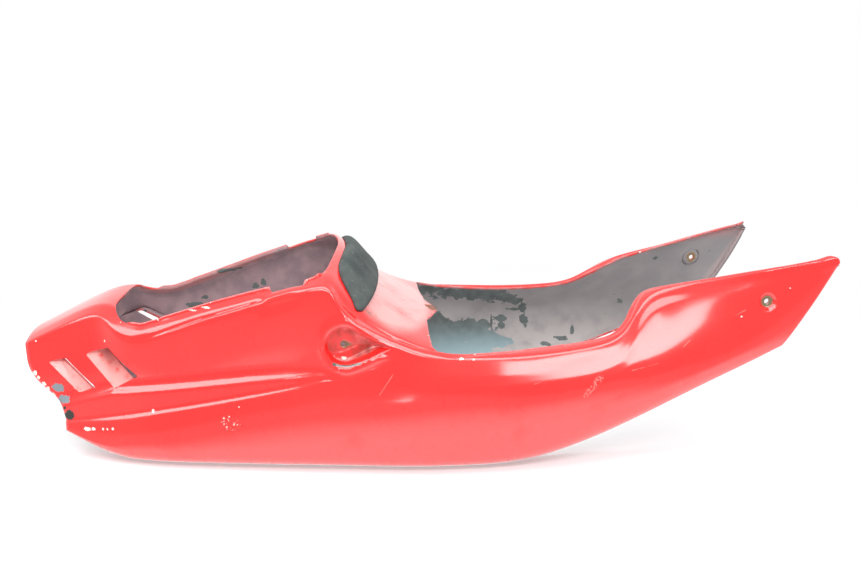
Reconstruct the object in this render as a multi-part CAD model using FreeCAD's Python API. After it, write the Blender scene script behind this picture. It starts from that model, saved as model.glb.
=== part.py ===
"""Motorcycle rear fairing: one moulded tail shell and the pad glued to the front of its hump.

Millimetres. X runs forward along the bike, Y to the bike's left, Z up; Z = 0 is the table the shell stands on.
"""
import math
import os

import FreeCAD
import Part

Vec = FreeCAD.Vector

# Driving sizes
LENGTH = 974.0          # rear deck to the tips of the prongs
WIDTH = 372.0           # across the flanks beside the rider's seat
HEIGHT = 239.0          # table to the top of the hump
WALL = 3.0              # moulded wall
LOUVRE_DEPTH = 11.0     # louvre floor below the skin at its open end
LOUVRE_SLOT = 7.0       # air gap left at the deep end of a louvre
TEAR_RADIUS = 21.0      # round end of the teardrop recess
TEAR_DEPTH = 8.0        # floor of the teardrop recess below the skin
TEAR_HOLE = 5.5         # side fixing hole, diameter
CUP_DIAMETER = 20.0     # dimple round a front fixing hole
CUP_DEPTH = 4.0         # dimple floor below the skin
FRONT_HOLE = 6.5        # front fixing hole, diameter
PAD_THICKNESS = 13.0    # pad on the front of the hump

# The guide lines below are drawn at these overall sizes and scaled to the driving sizes.
DRAWN_LENGTH = 974.0
DRAWN_WIDTH = 372.0
DRAWN_HEIGHT = 239.0

# Guide lines of one flank, from the turned-in lower lip up to the middle of the top: (x, half width, z).
LIP = [(-426, 73, 36), (-409, 83, 25), (-374, 92, 9), (-343, 98, 1), (-312, 105, 0), (-250, 114, 0),
       (-118, 130, 0), (18, 143, 0), (86, 142, 0), (106, 141, 1), (136, 138, 8), (196, 131, 26), (249, 125, 47),
       (324, 117, 80), (406, 108, 115), (421, 106, 122)]
SOLE = [(-428, 86, 28), (-409, 98, 21), (-374, 108, 7), (-343, 114, 0), (-312, 122, 0), (-250, 131, 0),
        (-118, 147, 0), (18, 160, 0), (86, 159, 0), (106, 158, 0.5), (136, 155, 6.5), (196, 148, 25),
        (249, 142, 46), (324, 134, 79), (406, 125, 114), (421, 123, 121)]
HEEL = [(-428, 92, 31), (-409, 104, 27), (-374, 118, 17), (-343, 127, 11), (-312, 135, 11), (-250, 145, 12),
        (-118, 162, 13), (18, 175, 13), (86, 174, 14), (106, 173, 16), (136, 169, 22), (196, 160, 40),
        (249, 153, 60), (324, 143, 92), (406, 131, 124), (425, 128, 131)]
FLANK = [(-428, 92.5, 34), (-374, 118, 27), (-320, 136, 27), (-250, 148, 31), (-118, 169, 40), (18, 182.5, 46),
         (86, 182, 48), (150, 174, 56), (250, 158, 82), (324, 147, 108), (406, 132, 138), (440, 126, 152)]
BULGE = [(-428, 91.5, 37), (-374, 115, 39), (-320, 134, 45), (-250, 147.5, 54), (-118, 171, 77), (18, 186, 82),
         (86, 186, 84), (150, 178, 91), (250, 157, 112), (324, 140, 134), (406, 128, 162), (459, 123, 181)]
CREASE = [(-429, 89, 40), (-368, 112, 51), (-305, 130, 65), (-243, 142, 78), (-204, 150, 88), (-164, 157, 97),
          (-135, 161, 105), (-114, 164, 112), (-60, 174, 115), (18, 185.5, 114), (86, 185, 114), (150, 175, 115),
          (200, 162, 120), (226, 150, 128), (250, 125, 151), (270, 109, 169), (324, 110, 181), (406, 118, 198),
          (477, 120, 213)]
GROOVE = [(-431, 85, 47), (-368, 107, 56), (-305, 122, 72), (-243, 134, 87), (-204, 143, 97), (-164, 151, 107),
          (-135, 157, 115), (-114, 161, 120), (-60, 173, 124), (18, 184.5, 126), (86, 183, 124), (150, 171, 125),
          (200, 158, 129), (226, 145, 136), (250, 116, 160), (270, 99, 178), (324, 102, 190), (406, 114, 207),
          (482, 120, 222)]
PANEL = [(-472, 58, 95), (-450, 66, 98), (-387, 84, 108), (-348, 101, 106), (-305, 110, 113), (-243, 123, 130),
         (-164, 143, 156), (-114, 153, 166), (-94, 158, 152), (-60, 169, 143), (18, 181.5, 132.5), (86, 180, 130.5),
         (150, 167, 131.5), (200, 153, 135), (226, 140, 142), (250, 111, 166), (270, 94, 183.5), (324, 98, 195.5),
         (406, 112, 212.5), (486, 119.5, 228)]
BEAD = [(-482, 45, 126), (-436, 52, 148), (-387, 59, 166), (-372, 78, 158), (-348, 100, 143.5), (-310, 105, 152),
        (-250, 115, 173), (-197, 128, 191), (-135, 142, 212), (-112, 146, 216.6), (-103, 150, 200),
        (-94, 154, 181), (-78, 158, 172), (-56, 163, 160), (-34, 168, 152), (-15, 172, 144), (9, 175.5, 137),
        (42, 176, 134.7), (74, 173, 134), (113, 168, 134), (152, 161, 135.6), (195, 151, 138.5),
        (224, 137, 146), (242, 120, 159), (254, 103, 173), (270, 90, 187), (331, 96, 200), (387, 107, 213),
        (441, 116, 224), (490, 119, 233)]
EDGE = [(-482, 30, 131), (-436, 34, 154), (-387, 42, 173), (-368, 56, 168), (-345, 76, 161), (-335, 79, 162),
        (-253, 90, 188), (-176, 107, 209), (-135, 117, 219), (-112, 121, 224), (-103, 122, 216), (-94, 123, 203),
        (-78, 124, 186), (-56, 127, 169), (-34, 132, 158), (-15, 138, 149), (1, 144, 143), (22, 146, 140),
        (80, 134, 136), (120, 126, 136), (160, 120, 139), (201, 114, 143), (220, 108, 148), (235, 96, 158),
        (254, 73, 178), (268, 66, 188), (287, 71, 193), (331, 81, 203), (387, 92, 215), (441, 101, 226),
        (490, 104, 236)]
CENTRE = [(-482, 0, 134), (-440, 0, 154), (-387, 0, 174), (-366, 0, 168), (-300, 0, 186), (-200, 0, 214),
          (-135, 0, 230), (-114, 0, 237), (-102, 0, 238), (-88, 0, 226), (-74, 0, 205), (-60, 0, 187),
          (-32, 0, 165), (9, 0, 150), (60, 0, 140), (200, 0, 145), (268, 0, 180), (490, 0, 230)]

HALF_SECTION = [LIP, SOLE, HEEL, FLANK, BULGE, CREASE, GROOVE, PANEL, BEAD, EDGE, CENTRE]
REAR_X = -482.0
FRONT_X = 490.0
REAR_BLEND = 150.0
FRONT_BLEND = 190.0
STATIONS = [-482, -450, -415, -390, -372, -350, -325, -285, -235, -185, -145, -120, -108, -98, -86, -68, -45,
            -20, 5, 40, 85, 130, 170, 200, 220, 236, 252, 270, 300, 345, 400, 450, 490]

# Strips of the skin between neighbouring guides; the crown runs over the top from edge to edge.
EDGE_PLACE = 9
LAST_PLACE = 22
NEAR_STRIPS = [(place, place + 1) for place in range(EDGE_PLACE)]
FAR_STRIPS = [(LAST_PLACE - last, LAST_PLACE - first) for first, last in NEAR_STRIPS]
CROWN_STRIP = (EDGE_PLACE, LAST_PLACE - EDGE_PLACE)
STRIPS = NEAR_STRIPS + [CROWN_STRIP] + FAR_STRIPS
FLANK_STRIPS = [(2, 3), (3, 4), (4, 5)]
TOP_STRIPS = [NEAR_STRIPS[-1], CROWN_STRIP, FAR_STRIPS[-1]]
PANEL_STRIPS = [(5, 6), (6, 7), (7, 8)]

# Passenger-seat opening in plan, near half from the rear round to the front (x, half width).
PASSENGER = [(-366, 0), (-365, 34), (-357, 64), (-336, 86), (-295, 92.5), (-253, 98.5), (-215, 107), (-178, 115)]
PASSENGER_NOTCH = [(-177, 121), (-137, 130)]
PASSENGER_FRONT = [(-136, 124.5), (-125, 122), (-117, 108), (-110, 70), (-104, 0)]

# Rider-seat opening in plan: the broken edge of the saddle, then one free rim to the tip of the prong.
SADDLE_BREAK = [(3, 146), (2, 108), (3, 60), (8, 52), (21, 10), (19, -1), (6, -22), (2, -82), (3, -146)]
RIM = [(8, 154), (22, 154.5), (80, 143.5), (120, 135), (160, 129), (201, 123.5), (220, 118.5), (235, 106.5),
       (254, 82), (268, 74), (287, 79.5), (331, 89), (387, 100), (441, 109), (490, 111)]

# Louvres on one flank, seen from the side (x, z): rear-top, front-top, front-bottom, rear-bottom.
LOUVRES = [[(-452, 108), (-429, 114), (-391, 83), (-412, 75)],
           [(-404, 121), (-373, 131), (-336, 101), (-366, 85)]]
TEAR_CENTRE = (-95.0, 150.0)
TEAR_POINT = (-44.0, 149.0)
TEAR_SCREW = (-97.0, 150.5)
CUP_CENTRE = (403.0, 180.0)

# Pad outline on the front of the hump, near half (half width, distance up the slope).
PAD_OUTLINE = [(0, 9), (50, 9), (85, 8.5), (103, 6.5), (116, -4), (126, -15), (135, -28), (133, -33), (118, -36),
               (80, -39), (0, -41)]
PAD_SLOPE = 52.0        # degrees, the pad's face from upright
PAD_ORIGIN = (-84.0, 0.0, 219.0)

# How far a recess starts below the skin, inside the wall, and how deep it may reach.
SKIN_COVER = 1.0
REACH = 60.0

SX = LENGTH / DRAWN_LENGTH
SY = WIDTH / DRAWN_WIDTH
SZ = HEIGHT / DRAWN_HEIGHT


def monotone(xs, ys):
    """Shape-keeping cubic through the points, straight beyond its ends."""
    gaps = [b - a for a, b in zip(xs, xs[1:])]
    rises = [(b - a) / gap for a, b, gap in zip(ys, ys[1:], gaps)]
    slopes = [rises[0]]
    for i in range(1, len(rises)):
        before, after = rises[i - 1], rises[i]
        if before * after <= 0:
            slopes.append(0.0)
            continue
        near = 2 * gaps[i] + gaps[i - 1]
        far = gaps[i] + 2 * gaps[i - 1]
        slopes.append((near + far) / (near / before + far / after))
    slopes.append(rises[-1])

    def value(x):
        if x <= xs[0]:
            return ys[0] + slopes[0] * (x - xs[0])
        if x >= xs[-1]:
            return ys[-1] + slopes[-1] * (x - xs[-1])
        i = 0
        while x > xs[i + 1]:
            i += 1
        t = (x - xs[i]) / gaps[i]
        keep = (1 - t) ** 2
        return (ys[i] * (1 + 2 * t) * keep + slopes[i] * gaps[i] * t * keep
                + ys[i + 1] * t * t * (3 - 2 * t) + slopes[i + 1] * gaps[i] * t * t * (t - 1))

    return value


def ease(t):
    t = min(1.0, max(0.0, t))
    return t * t * (3 - 2 * t)


def guide_lines():
    lines = []
    for points in HALF_SECTION:
        xs = [p[0] for p in points]
        width = monotone(xs, [p[1] for p in points])
        rise = monotone(xs, [p[2] for p in points])
        lines.append((xs[0], xs[-1], width, rise))
    return lines


def skin_net():
    """Poles of the skin: one row per station, near lip over the top to the far lip."""
    lines = guide_lines()
    rows = []
    for station in STATIONS:
        rear = ease(1 - (station - REAR_X) / REAR_BLEND)
        front = ease(1 - (FRONT_X - station) / FRONT_BLEND)
        near = []
        for first, last, width, rise in lines:
            x = station + (first - REAR_X) * rear + (last - FRONT_X) * front
            near.append((x, -width(x), rise(x)))
        edge, centre = near[-2], near[-1]
        shoulder = ((edge[0] + centre[0]) / 2, edge[1] / 2, edge[2] * 0.25 + centre[2] * 0.75)
        near.insert(len(near) - 1, shoulder)
        far = [(x, -y, z) for x, y, z in reversed(near[:-1])]
        rows.append([Vec(x * SX, y * SY, z * SZ) for x, y, z in near + far])
    return rows


def offset_net(net, distance):
    """The same net moved inward by the wall, corner poles along their bisector."""
    moved = []
    for i, row in enumerate(net):
        ahead = net[min(i + 1, len(net) - 1)]
        behind = net[max(i - 1, 0)]
        new_row = []
        for j, pole in enumerate(row):
            along = ahead[j].sub(behind[j])
            sides = []
            for step in (-1, 1):
                k = j + step
                while 0 <= k < len(row) and row[k].distanceToPoint(pole) < 1e-6:
                    k += step
                if 0 <= k < len(row):
                    across = row[k].sub(pole).multiply(step)
                    sides.append(along.cross(across).normalize())
            normal = sides[0].add(sides[-1]).normalize()
            stretch = 1.0 / max(0.8, normal.dot(sides[0]))
            new_row.append(pole.sub(Vec(normal).multiply(distance * stretch)))
        moved.append(new_row)
    return moved


def knots(count, degree):
    spans = count - degree
    values = [float(k) for k in range(spans + 1)]
    mults = [degree + 1] + [1] * (spans - 1) + [degree + 1]
    return values, mults


def surface(net):
    degree_u = min(3, len(net) - 1)
    degree_v = min(3, len(net[0]) - 1)
    knots_u, mults_u = knots(len(net), degree_u)
    knots_v, mults_v = knots(len(net[0]), degree_v)
    spline = Part.BSplineSurface()
    spline.buildFromPolesMultsKnots(net, mults_u, mults_v, knots_u, knots_v, False, False, degree_u, degree_v)
    return spline


def sewn_solid(faces):
    shell = Part.makeCompound(faces)
    shell.sewShape()
    solid = Part.makeSolid(shell.Shells[0])
    if solid.Volume < 0:
        solid.reverse()
    return solid


def strip(net, columns):
    first, last = columns
    return [row[first:last + 1] for row in net]


def skin_solid(net):
    inner = offset_net(net, WALL)
    pieces = []
    for columns in STRIPS:
        outside = strip(net, columns)
        inside = strip(inner, columns)
        pieces += [outside, inside]
        pieces += [[list(pair) for pair in zip(outside[end], inside[end])] for end in (0, -1)]
    pieces += [[[row[side], low[side]] for row, low in zip(net, inner)] for side in (0, -1)]
    return sewn_solid([surface(poles).toShape() for poles in pieces])


def spline_edge(points, z):
    curve = Part.BSplineCurve()
    curve.interpolate([Vec(x * SX, y * SY, z) for x, y in points])
    return curve.toShape()


def line_edges(points, z):
    corners = [Vec(x * SX, y * SY, z) for x, y in points]
    return [Part.makeLine(a, b) for a, b in zip(corners, corners[1:])]


def mirrored(points):
    return [(x, -y) for x, y in reversed(points)]


def prism(edges, direction):
    wire = Part.Wire(Part.__sortEdges__(edges))
    return Part.Face(wire).extrude(direction)


def passenger_opening():
    floor = 100.0 * SZ
    near = [(x, -w) for x, w in PASSENGER]
    notch = [(x, -w) for x, w in PASSENGER_NOTCH]
    front = [(x, -w) for x, w in PASSENGER_FRONT]
    sides = [near[-1]] + notch + [front[0]]
    rear_curve = mirrored(near) + near[1:]
    front_curve = front + mirrored(front)[1:]
    edges = [spline_edge(rear_curve, floor), spline_edge(front_curve, floor)]
    edges += line_edges(sides, floor) + line_edges(mirrored(sides), floor)
    return prism(edges, Vec(0, 0, 2 * HEIGHT))


def seat_opening():
    floor = 78.0 * SZ
    near = [(x, -w) for x, w in RIM]
    reach = FRONT_X + 40.0
    ends = [near[-1], (reach, near[-1][1]), (reach, -near[-1][1]), (near[-1][0], -near[-1][1])]
    saddle = [near[0]] + [(x, -y) for x, y in SADDLE_BREAK] + [(near[0][0], -near[0][1])]
    edges = [spline_edge(near, floor), spline_edge(mirrored(near), floor)]
    edges += line_edges(ends, floor) + line_edges(saddle, floor)
    return prism(edges, Vec(0, 0, 2 * HEIGHT))


def patch_of(net, columns, first_x, last_x):
    """Piece of one strip of the skin between two stations."""
    spline = surface(strip(net, columns))
    u_low, u_high, v_low, v_high = spline.bounds()
    start = max(u_low, STATIONS.index(first_x) - 1.0)
    stop = min(u_high, STATIONS.index(last_x) - 1.0)
    spline.segment(start, stop, v_low, v_high)
    return spline.toShape()


def patches(net, strips, first_x, last_x):
    return [patch_of(net, columns, first_x, last_x) for columns in strips]


def trimmed(body, skin):
    """The part of a body that lies just under the near skin."""
    kept = []
    for patch in skin:
        face = patch.copy()
        face.translate(Vec(0, SKIN_COVER, 0))
        kept.append(body.common(face.extrude(Vec(0, REACH, 0))))
    return kept[0].multiFuse(kept[1:])


def skin_depth(skin, x, z):
    """Y of the near skin at a side-view point."""
    ray = Part.makeLine(Vec(x, -WIDTH, z), Vec(x, 0, z))
    return min(vertex.Y for patch in skin for vertex in patch.section(ray).Vertexes)


def side_prism(points, near_y, far_y):
    corners = [Vec(x, near_y, z) for x, z in points]
    wire = Part.makePolygon(corners + [corners[0]])
    return Part.Face(wire).extrude(Vec(0, far_y - near_y, 0))


def grown(points, by):
    """Side-view outline moved outward from its middle by about the given amount."""
    mid_x = sum(p[0] for p in points) / len(points)
    mid_z = sum(p[1] for p in points) / len(points)
    out = []
    for x, z in points:
        reach = math.hypot(x - mid_x, z - mid_z)
        out.append((x + (x - mid_x) * by / reach, z + (z - mid_z) * by / reach))
    return out


def plane_y(points):
    """Y as a function of x and z on the plane through three points."""
    a, b, c = points
    normal = b.sub(a).cross(c.sub(a))
    return lambda x, z: a.y - (normal.x * (x - a.x) + normal.z * (z - a.z)) / normal.y


def ramp_prism(points, near_y, floor):
    """Prism along Y from a flat outer face down to a sloping floor."""
    top = [Vec(x, near_y, z) for x, z in points]
    base = [Vec(x, floor(x, z), z) for x, z in points]
    faces = [Part.Face(Part.makePolygon(ring + [ring[0]])) for ring in (top, base)]
    for k in range(len(points)):
        n = (k + 1) % len(points)
        faces.append(Part.Face(Part.makePolygon([top[k], top[n], base[n], base[k], top[k]])))
    return sewn_solid(faces)


def louvre(net, outline):
    """Wedge pocket, flush along its rear edge and open to the inside along its front edge."""
    near_skin = patches(net, PANEL_STRIPS, -482, -285)
    points = [(x * SX, z * SZ) for x, z in outline]
    rear_top, front_top, front_low, rear_low = points
    outside = -WIDTH / 2
    hinge_top = Vec(rear_top[0], skin_depth(near_skin, *rear_top) + 0.6, rear_top[1])
    hinge_low = Vec(rear_low[0], skin_depth(near_skin, *rear_low) + 0.6, rear_low[1])
    open_end = Vec(front_low[0], skin_depth(near_skin, *front_low) + LOUVRE_DEPTH, front_low[1])
    floor = plane_y([hinge_top, hinge_low, open_end])
    void = ramp_prism(points, outside, floor)
    sleeve = grown(points, WALL * 1.6)
    body = ramp_prism(sleeve, outside, lambda x, z: floor(x, z) + WALL)
    body = trimmed(body, near_skin)
    reach = math.hypot(front_top[0] - rear_top[0], front_top[1] - rear_top[1])
    share = 1 - LOUVRE_SLOT / reach
    slot_top = tuple(a + (b - a) * share for a, b in zip(rear_top, front_top))
    slot_low = tuple(a + (b - a) * share for a, b in zip(rear_low, front_low))
    slot = side_prism([slot_top, front_top, front_low, slot_low], outside, -10.0)
    return body, [void, slot]


def teardrop(radius):
    """Side-view edges of the teardrop: round behind, drawn to a point ahead, the same shape at any radius."""
    cx, cz = TEAR_CENTRE[0] * SX, TEAR_CENTRE[1] * SZ
    px, pz = TEAR_POINT[0] * SX, TEAR_POINT[1] * SZ
    lean = math.atan2(pz - cz, px - cx)
    spread = math.acos(TEAR_RADIUS / math.hypot(px - cx, pz - cz))

    def at(angle, distance=radius):
        return Vec(cx + distance * math.cos(lean + angle), 0, cz + distance * math.sin(lean + angle))

    tip = at(0, radius / math.cos(spread))
    arc = Part.Arc(at(spread), at(math.pi), at(-spread)).toShape()
    return [arc, Part.makeLine(at(-spread), tip), Part.makeLine(tip, at(spread))]


def recess(net):
    """Teardrop recess with a flat floor and a fixing hole through it."""
    near_skin = patches(net, PANEL_STRIPS, -185, 5)
    x, z = TEAR_SCREW[0] * SX, TEAR_SCREW[1] * SZ
    floor_y = skin_depth(near_skin, x, z) + TEAR_DEPTH
    outside = -WIDTH / 2 - 10
    void = prism(teardrop(TEAR_RADIUS), Vec(0, floor_y - outside, 0))
    void.translate(Vec(0, outside, 0))
    body = prism(teardrop(TEAR_RADIUS + WALL), Vec(0, floor_y + WALL - outside, 0))
    body.translate(Vec(0, outside, 0))
    body = trimmed(body, near_skin)
    hole = Part.makeCylinder(TEAR_HOLE / 2, WALL * 6, Vec(x, floor_y - WALL, z), Vec(0, 1, 0))
    return body, [void, hole], (x, floor_y, z)


def front_cup(net):
    """Round dimple with a flat floor and a fixing hole in the prong."""
    near_skin = patches(net, FLANK_STRIPS, 300, 490)
    x, z = CUP_CENTRE[0] * SX, CUP_CENTRE[1] * SZ
    floor_y = skin_depth(near_skin, x, z) + CUP_DEPTH
    outside = floor_y - 30.0
    flat = CUP_DIAMETER / 2 - CUP_DEPTH * 0.6
    steep = CUP_DIAMETER / 2 + (30.0 - CUP_DEPTH) * 0.6
    axis = Vec(0, 1, 0)
    void = Part.makeCone(steep, flat, 30.0, Vec(x, outside, z), axis)
    body = Part.makeCylinder(CUP_DIAMETER / 2 + WALL, 30.0 + WALL, Vec(x, outside, z), axis)
    body = trimmed(body, near_skin)
    hole = Part.makeCylinder(FRONT_HOLE / 2, WALL * 6, Vec(x, floor_y - WALL, z), axis)
    return body, [void, hole], (x, floor_y, z)


def across(shape):
    return shape.mirror(Vec(0, 0, 0), Vec(0, 1, 0))


def hump_pad(net):
    """Arched pad lying on the front of the hump."""
    lean = math.radians(PAD_SLOPE)
    out = Vec(math.sin(lean), 0, math.cos(lean))
    up = Vec(-math.cos(lean), 0, math.sin(lean))
    slabs = [patch.extrude(Vec(out).multiply(PAD_THICKNESS)) for patch in patches(net, TOP_STRIPS, -145, -20)]
    slab = slabs[0].multiFuse(slabs[1:])
    origin = Vec(PAD_ORIGIN[0] * SX, 0, PAD_ORIGIN[2] * SZ).sub(Vec(out).multiply(80.0))
    near = [(-w, s) for w, s in PAD_OUTLINE]
    ring = near + [(-w, s) for w, s in reversed(near[1:-1])]
    curve = Part.BSplineCurve()
    spots = [origin.add(Vec(0, w * SY, 0)).add(Vec(up).multiply(s * SZ)) for w, s in ring]
    curve.interpolate(Points=spots, PeriodicFlag=True)
    punch = Part.Face(Part.Wire([curve.toShape()])).extrude(Vec(out).multiply(160.0))
    return slab.common(punch)


net = skin_net()
shell = skin_solid(net)
shell = shell.cut([passenger_opening(), seat_opening()])

bodies = []
voids = []
for outline in LOUVRES:
    body, cuts = louvre(net, outline)
    bodies.append(body)
    voids += cuts
side_body, side_cuts, side_spot = recess(net)
front_body, front_cuts, front_spot = front_cup(net)
bodies += [side_body, front_body]
voids += side_cuts + front_cuts
shell = shell.fuse(bodies + [across(body) for body in bodies])
shell = shell.cut(voids + [across(void) for void in voids])
pad = hump_pad(net)

box = shell.optimalBoundingBox(True)
middle = Vec((box.XMin + box.XMax) / 2, 0, box.ZMin)
os.makedirs("parts", exist_ok=True)
for name, shape in (("tail_shell", shell), ("backrest_pad", pad)):
    shape = shape.copy()
    shape.translate(middle.negative())
    shape.exportStep("parts/" + name + ".step")
    size = shape.optimalBoundingBox(True)
    print(name, shape.ShapeType, len(shape.Solids), shape.isValid(), round(shape.Volume),
          [round(v, 2) for v in (size.XMin, size.XMax, size.YMin, size.YMax, size.ZMin, size.ZMax)])
for name, spot in (("side hole", side_spot), ("front hole", front_spot)):
    print(name, [round(a - b, 2) for a, b in zip(spot, (middle.x, 0, middle.z))])
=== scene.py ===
"""Looks of a motorcycle rear fairing: a red moulded shell with worn paint and a foam pad on its hump."""

import math

import bmesh
import bpy
import numpy as np
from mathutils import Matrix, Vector
from mathutils.bvhtree import BVHTree


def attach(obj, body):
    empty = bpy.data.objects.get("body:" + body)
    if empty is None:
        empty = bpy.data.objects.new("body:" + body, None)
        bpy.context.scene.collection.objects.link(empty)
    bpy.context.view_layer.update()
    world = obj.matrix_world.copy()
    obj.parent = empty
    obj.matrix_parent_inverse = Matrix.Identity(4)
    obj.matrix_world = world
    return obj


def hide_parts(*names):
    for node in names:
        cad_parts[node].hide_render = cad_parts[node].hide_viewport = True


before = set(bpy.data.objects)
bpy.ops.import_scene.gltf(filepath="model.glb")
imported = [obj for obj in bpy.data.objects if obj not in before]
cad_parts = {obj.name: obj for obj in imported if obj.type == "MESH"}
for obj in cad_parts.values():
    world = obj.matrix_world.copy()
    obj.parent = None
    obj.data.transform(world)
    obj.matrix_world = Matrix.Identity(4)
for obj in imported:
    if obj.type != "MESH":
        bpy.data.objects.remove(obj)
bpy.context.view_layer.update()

# Guide lines are drawn in millimetres; the row frame's middle lies at this drawn x.
MM = 0.001
MIDDLE_X = 4.3
WALL = 3.0
PLAN, SIDE_VIEW = [0, 1], [0, 2]

# Guide lines of one flank, from the turned-in lower lip up to the middle of the top: (x, half width, z).
LIP = [
    (-426, 73, 36), (-409, 83, 25), (-374, 92, 9), (-343, 98, 1), (-312, 105, 0), (-250, 114, 0),
    (-118, 130, 0), (18, 143, 0), (86, 142, 0), (106, 141, 1), (136, 138, 8), (196, 131, 26),
    (249, 125, 47), (324, 117, 80), (406, 108, 115), (421, 106, 122)]
SOLE = [
    (-428, 86, 28), (-409, 98, 21), (-374, 108, 7), (-343, 114, 0), (-312, 122, 0), (-250, 131, 0),
    (-118, 147, 0), (18, 160, 0), (86, 159, 0), (106, 158, 0.5), (136, 155, 6.5), (196, 148, 25),
    (249, 142, 46), (324, 134, 79), (406, 125, 114), (421, 123, 121)]
HEEL = [
    (-428, 92, 31), (-409, 104, 27), (-374, 118, 17), (-343, 127, 11), (-312, 135, 11), (-250, 145, 12),
    (-118, 162, 13), (18, 175, 13), (86, 174, 14), (106, 173, 16), (136, 169, 22), (196, 160, 40),
    (249, 153, 60), (324, 143, 92), (406, 131, 124), (425, 128, 131)]
FLANK = [
    (-428, 92.5, 34), (-374, 118, 27), (-320, 136, 27), (-250, 148, 31), (-118, 169, 40),
    (18, 182.5, 46), (86, 182, 48), (150, 174, 56), (250, 158, 82), (324, 147, 108), (406, 132, 138),
    (440, 126, 152)]
BULGE = [
    (-428, 91.5, 37), (-374, 115, 39), (-320, 134, 45), (-250, 147.5, 54), (-118, 171, 77),
    (18, 186, 82), (86, 186, 84), (150, 178, 91), (250, 157, 112), (324, 140, 134), (406, 128, 162),
    (459, 123, 181)]
CREASE = [
    (-429, 89, 40), (-368, 112, 51), (-305, 130, 65), (-243, 142, 78), (-204, 150, 88), (-164, 157, 97),
    (-135, 161, 105), (-114, 164, 112), (-60, 173, 111), (18, 183, 104), (86, 182.5, 104),
    (150, 172.5, 106), (200, 161.5, 113), (226, 152, 124), (250, 125, 151), (270, 109, 169),
    (324, 110, 181), (406, 118, 198), (477, 120, 213)]
GROOVE = [
    (-431, 85, 47), (-368, 107, 56), (-305, 122, 72), (-243, 134, 87), (-204, 143, 97),
    (-164, 151, 107), (-135, 157, 115), (-114, 161, 120), (-60, 170, 122), (18, 175.5, 118),
    (86, 174, 117), (150, 163.5, 119), (200, 153, 124), (226, 145, 132.5), (250, 116, 160),
    (270, 99, 178), (324, 102, 190), (406, 114, 207), (482, 120, 222)]
PANEL = [
    (-477, 57, 92), (-450, 66, 96), (-387, 84, 108), (-348, 101, 106), (-305, 110, 113),
    (-243, 123, 130), (-164, 143, 156), (-114, 153, 166), (-94, 158, 152), (-60, 166, 142),
    (18, 168, 129), (86, 166.3, 127), (150, 156.5, 129), (200, 146.5, 133.5), (226, 137, 141),
    (250, 111, 166), (270, 94, 183.5), (324, 98, 195.5), (406, 112, 212.5), (486, 119.5, 228)]
BEAD = [
    (-482, 45, 126), (-436, 52, 148), (-387, 59, 166), (-372, 78, 158), (-348, 100, 143.5),
    (-310, 105, 152), (-250, 115, 173), (-197, 128, 191), (-135, 142, 212), (-112, 146, 216.6),
    (-103, 150, 200), (-94, 154, 181), (-78, 158, 172), (-56, 161, 160), (-34, 162.5, 151),
    (-15, 163, 143), (9, 162.8, 137), (42, 162, 135), (74, 160, 134.5), (113, 156, 134.5),
    (152, 150, 136), (195, 142, 139), (224, 132, 146), (242, 120, 159), (254, 103, 173), (270, 90, 187),
    (331, 96, 200), (387, 107, 213), (441, 116, 224), (490, 119, 233)]
EDGE = [
    (-482, 30, 131), (-436, 34, 154), (-387, 42, 174), (-368, 56, 173.5), (-345, 76, 161),
    (-335, 79, 162), (-253, 90, 188), (-176, 107, 209), (-135, 117, 219), (-112, 121, 224),
    (-103, 122, 216), (-94, 123, 203), (-78, 124, 186), (-56, 127, 169), (-34, 132, 158),
    (-15, 138, 149), (1, 144, 143), (22, 146, 140), (80, 134, 136), (120, 126, 136), (160, 120, 139),
    (201, 114, 143), (220, 108, 148), (235, 96, 158), (254, 73, 178), (268, 66, 188), (287, 71, 193),
    (331, 81, 203), (387, 92, 215), (441, 101, 226), (490, 104, 236)]
CENTRE = [
    (-482, 0, 134), (-440, 0, 154), (-387, 0, 175), (-366, 0, 174), (-300, 0, 186), (-200, 0, 214),
    (-135, 0, 229.4), (-114, 0, 235.6), (-102, 0, 236.4), (-88, 0, 226), (-74, 0, 205), (-60, 0, 187),
    (-32, 0, 165), (9, 0, 150), (60, 0, 140), (200, 0, 145), (268, 0, 180), (490, 0, 230)]
HALF_SECTION = [LIP, SOLE, HEEL, FLANK, BULGE, CREASE, GROOVE, PANEL, BEAD, EDGE, CENTRE]
STATIONS = [
    -482, -450, -415, -390, -372, -350, -325, -285, -235, -185, -145, -120, -108, -98, -86, -68, -45,
    -20, 5, 40, 85, 130, 170, 200, 220, 236, 252, 270, 300, 345, 400, 450, 490]
REAR_X, FRONT_X = -482.0, 490.0
REAR_BLEND, FRONT_BLEND = 150.0, 190.0

# Corners across one half of the section, from the lower lip to the middle of the top.
SECTION = [
    "lip", "sole", "heel", "flank", "bulge", "crease", "shelf", "band", "flare", "panel", "bead",
    "edge", "shoulder", "centre"]
# Grid columns round each corner, and on the straight run that follows it.
ROUND_COLUMNS = [1, 5, 5, 6, 9, 5, 4, 4, 5, 11, 8, 7, 7, 5]
RUN_COLUMNS = [3, 1, 1, 1, 2, 1, 3, 2, 3, 4, 5, 3, 1]
# How far from a corner its rounding starts, by place along the bike; a soft bend takes up the whole run.
SOFT = 99.0
BENDS = {"sole": ([0], [10]),
         "crease": ([-150, -60], [3.2, SOFT]),
         "shelf": ([-150, -60], [3.2, SOFT]),
         "band": ([-150, -60], [3.0, SOFT]),
         "flare": ([-150, -60], [9.0, SOFT]),
         "bead": ([-400, -372, -130, -60, 0, 200, 260, 330], [3.5, 6, 6, 7, 9, 9, 7, 5]),
         "edge": ([-400, -372, -130, -60, 0], [6, 5, 6, 12, 20])}

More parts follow.
